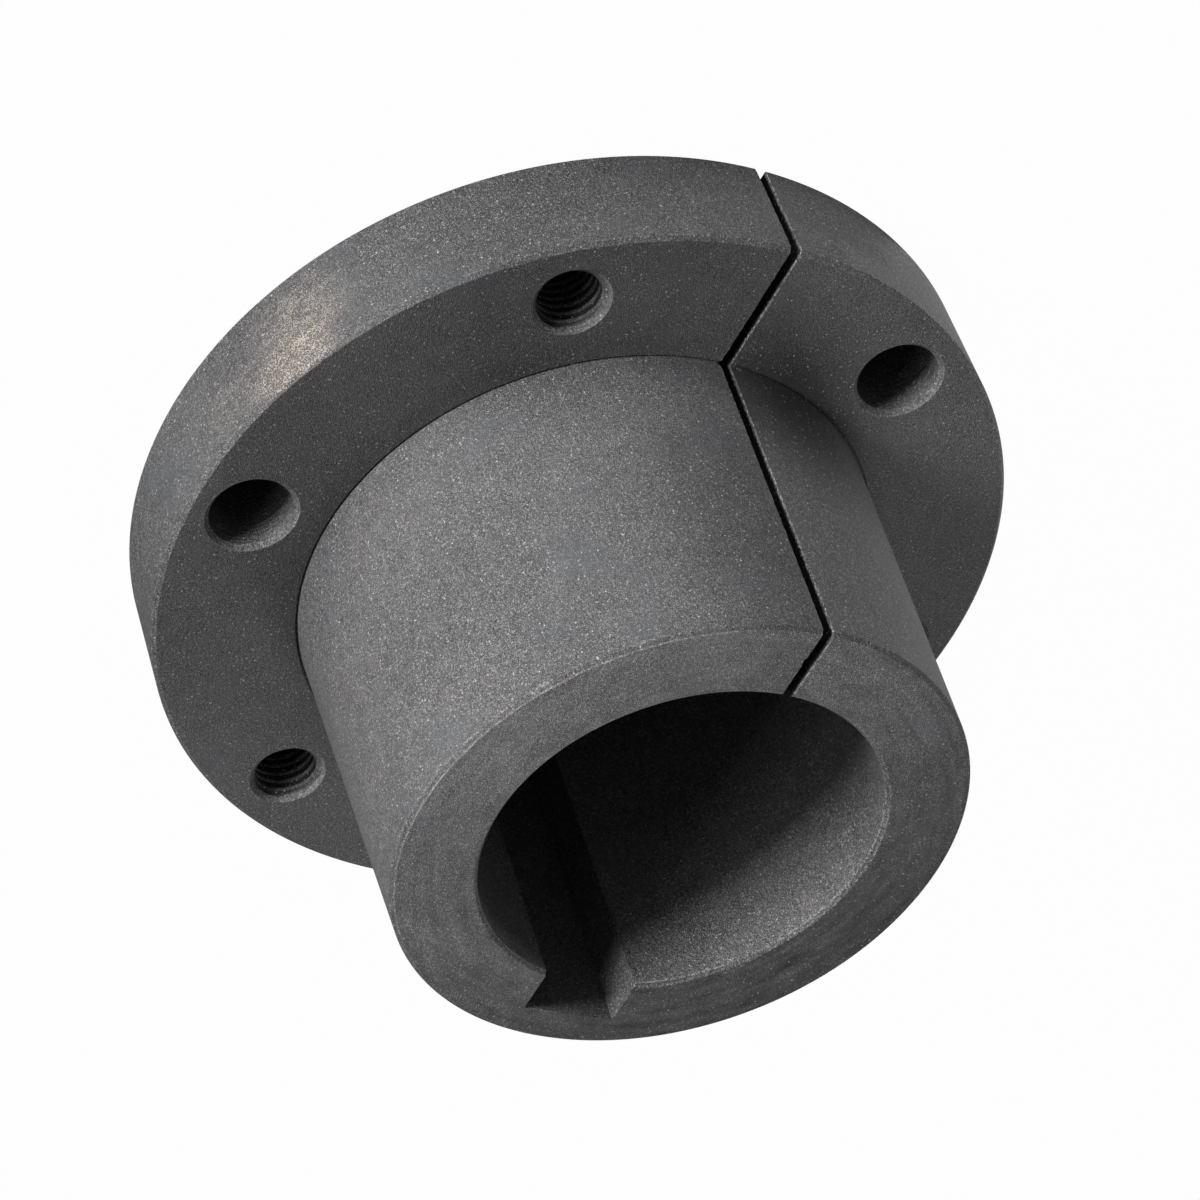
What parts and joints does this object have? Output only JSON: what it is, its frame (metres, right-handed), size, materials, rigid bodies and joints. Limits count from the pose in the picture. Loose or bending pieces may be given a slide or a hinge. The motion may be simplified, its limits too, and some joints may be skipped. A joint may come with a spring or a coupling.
{
  "type": "quick disconnect bushing",
  "caption": "Split taper bushing: a flange with alternating plain and threaded screw holes and a tapered barrel, with a keyed bore, that draws into a hub and clamps it to a shaft.",
  "frame": {"origin": "centre of the bore, on the back face of the flange", "axes": "+Z along the bore axis from the back of the flange to the small end of the taper, +X through the middle of the keyway; the saw cut is on -X"},
  "size_m": [0.1682, 0.1682, 0.0929],
  "materials": {
    "dark_iron": "matt phosphate coating, lightly rubbed on its edges"
  },
  "bodies": {
    "root": {"bushing": "dark_iron"}
  },
  "joints": []
}
